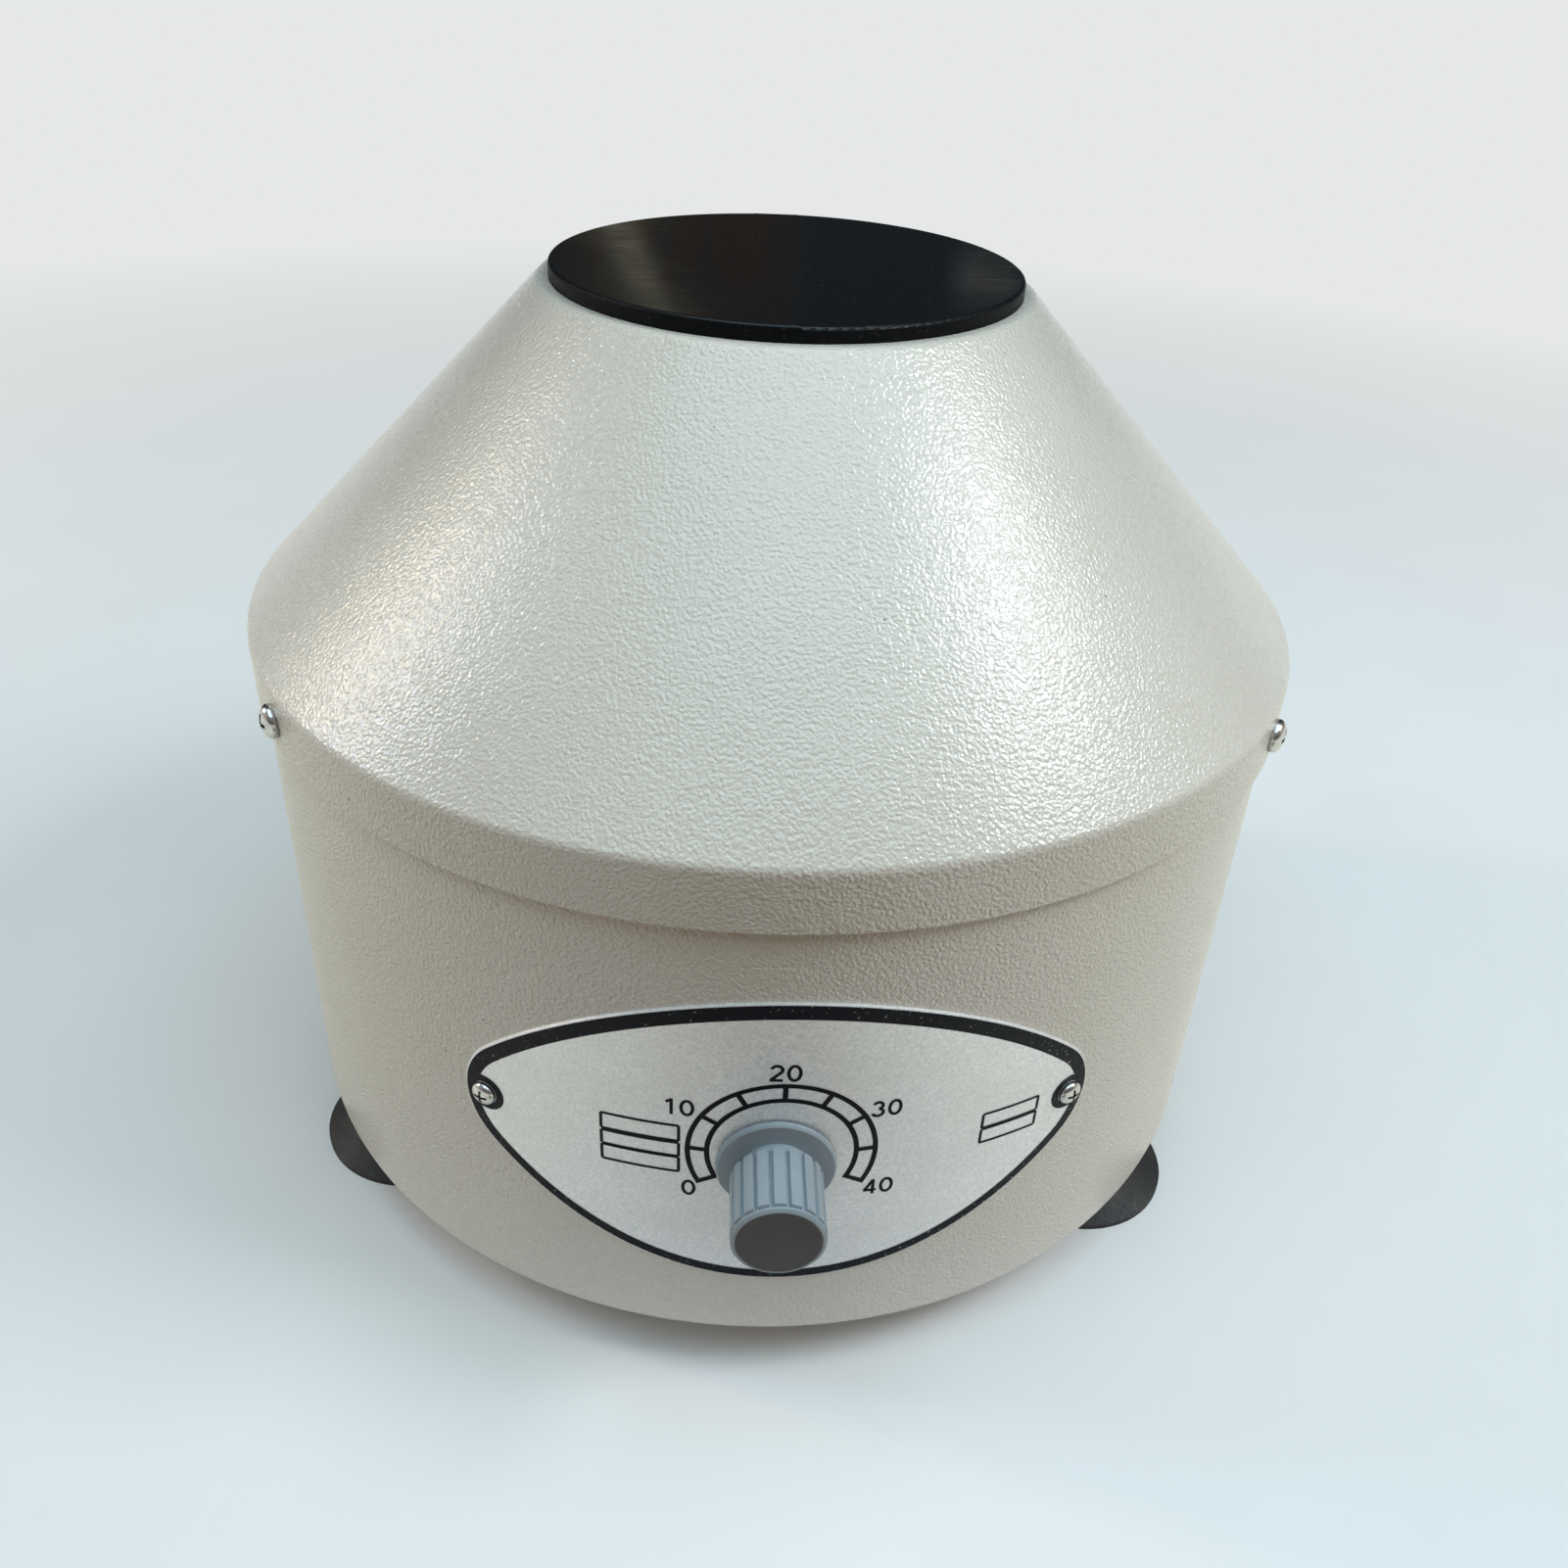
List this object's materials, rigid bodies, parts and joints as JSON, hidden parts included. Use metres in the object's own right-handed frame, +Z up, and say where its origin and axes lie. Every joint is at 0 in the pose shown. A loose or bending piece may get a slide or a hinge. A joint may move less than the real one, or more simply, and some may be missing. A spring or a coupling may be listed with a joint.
{
  "type": "benchtop centrifuge",
  "caption": "Round benchtop centrifuge: sheet metal drum and cone on suction feet, hinged round lid, angle rotor, motor and a speed knob on a curved front plate.",
  "frame": {"origin": "the drum's axis at the bench top, where the feet stand", "axes": "+Z up, front with the dial plate to -Y, +X to the right seen from the front"},
  "size_m": [0.2602, 0.2832, 0.2302],
  "materials": {
    "housing_paint": "textured powder coat, off-white",
    "plated_steel": "zinc plated",
    "bright_screws": "bright plated",
    "black_rubber": "matt moulded",
    "black_lid": "glossy moulded",
    "plate_aluminium": "satin anodised with printed marks",
    "cast_aluminium": "as cast and turned",
    "knob_plastic": "satin moulded, blue grey",
    "cap_plastic": "satin moulded, near black",
    "pan_steel": "drawn stainless",
    "core_steel": "stacked laminations, lacquered",
    "copper_wire": "enamelled copper",
    "bush_bronze": "sintered bronze",
    "carbon": "pressed carbon",
    "fuse_glass": "clear tube with end caps",
    "board_laminate": "green laminate",
    "natural_nylon": "natural nylon",
    "capacitor_case": "moulded case, amber"
  },
  "bodies": {
    "housing": {"base_shell": "housing_paint", "cone_cover": "housing_paint", "base_plate": "plated_steel", "foot_nuts": "plated_steel", "cone_nuts": "plated_steel", "hinge_pin": "plated_steel", "hinge_rivets": "plated_steel", "pan_screws": "plated_steel", "foot_screws": "plated_steel", "tie_bolts": "plated_steel", "motor_plate_screws": "plated_steel", "motor_pillars": "plated_steel", "pillar_screws": "plated_steel", "isolator_screws": "plated_steel", "brush_springs": "plated_steel", "speed_control_nut": "plated_steel", "hinge_bracket": "plated_steel", "motor_plate": "plated_steel", "cone_screws": "bright_screws", "dial_plate_screws": "bright_screws", "suction_foot_left": "black_rubber", "suction_foot_right": "black_rubber", "suction_foot_rear": "black_rubber", "cord_grommet": "black_rubber", "shaft_boot": "black_rubber", "vibration_isolators": "black_rubber", "dial_plate": "plate_aluminium", "motor_lower_bell": "cast_aluminium", "motor_upper_bell": "cast_aluminium", "heat_sink": "cast_aluminium", "fuse_holder": "cap_plastic", "fuse_cap": "cap_plastic", "brush_holders": "cap_plastic", "brush_caps": "cap_plastic", "triac": "cap_plastic", "terminal_block": "cap_plastic", "speed_control": "cap_plastic", "chamber_pan": "pan_steel", "stator_core": "core_steel", "field_coils": "copper_wire", "bearing_bushes": "bush_bronze", "carbon_brushes": "carbon", "fuse": "fuse_glass", "control_board": "board_laminate", "board_spacers": "natural_nylon", "suppression_capacitor": "capacitor_case"},
    "rotor": {"motor_shaft": "plated_steel", "drive_pin": "plated_steel", "rotor_head": "cast_aluminium", "tube_sleeves": "cast_aluminium", "rotor_nut": "plated_steel", "armature_core": "core_steel", "armature_winding": "copper_wire", "commutator": "copper_wire", "cooling_fan": "cap_plastic"},
    "lid": {"lid": "black_lid", "lid_seal": "black_rubber"},
    "knob": {"speed_knob": "knob_plastic", "knob_cap": "cap_plastic", "control_shaft": "pan_steel"}
  },
  "joints": [
    {"name": "lid_hinge", "type": "hinge", "parent": "housing", "child": "lid", "pos_m": [0, 0.0645, 0.2252], "axis": [-1, 0, 0], "range_deg": [0, 100]},
    {"name": "rotor_spin", "type": "hinge", "parent": "housing", "child": "rotor", "pos_m": [0, 0, 0.15], "axis": [0, 0, 1], "continuous": true},
    {"name": "knob_turn", "type": "hinge", "parent": "housing", "child": "knob", "pos_m": [-0.00158, -0.12949, 0.074], "axis": [0.0122, 0.9999, 0], "range_deg": [0, 240]}
  ]
}
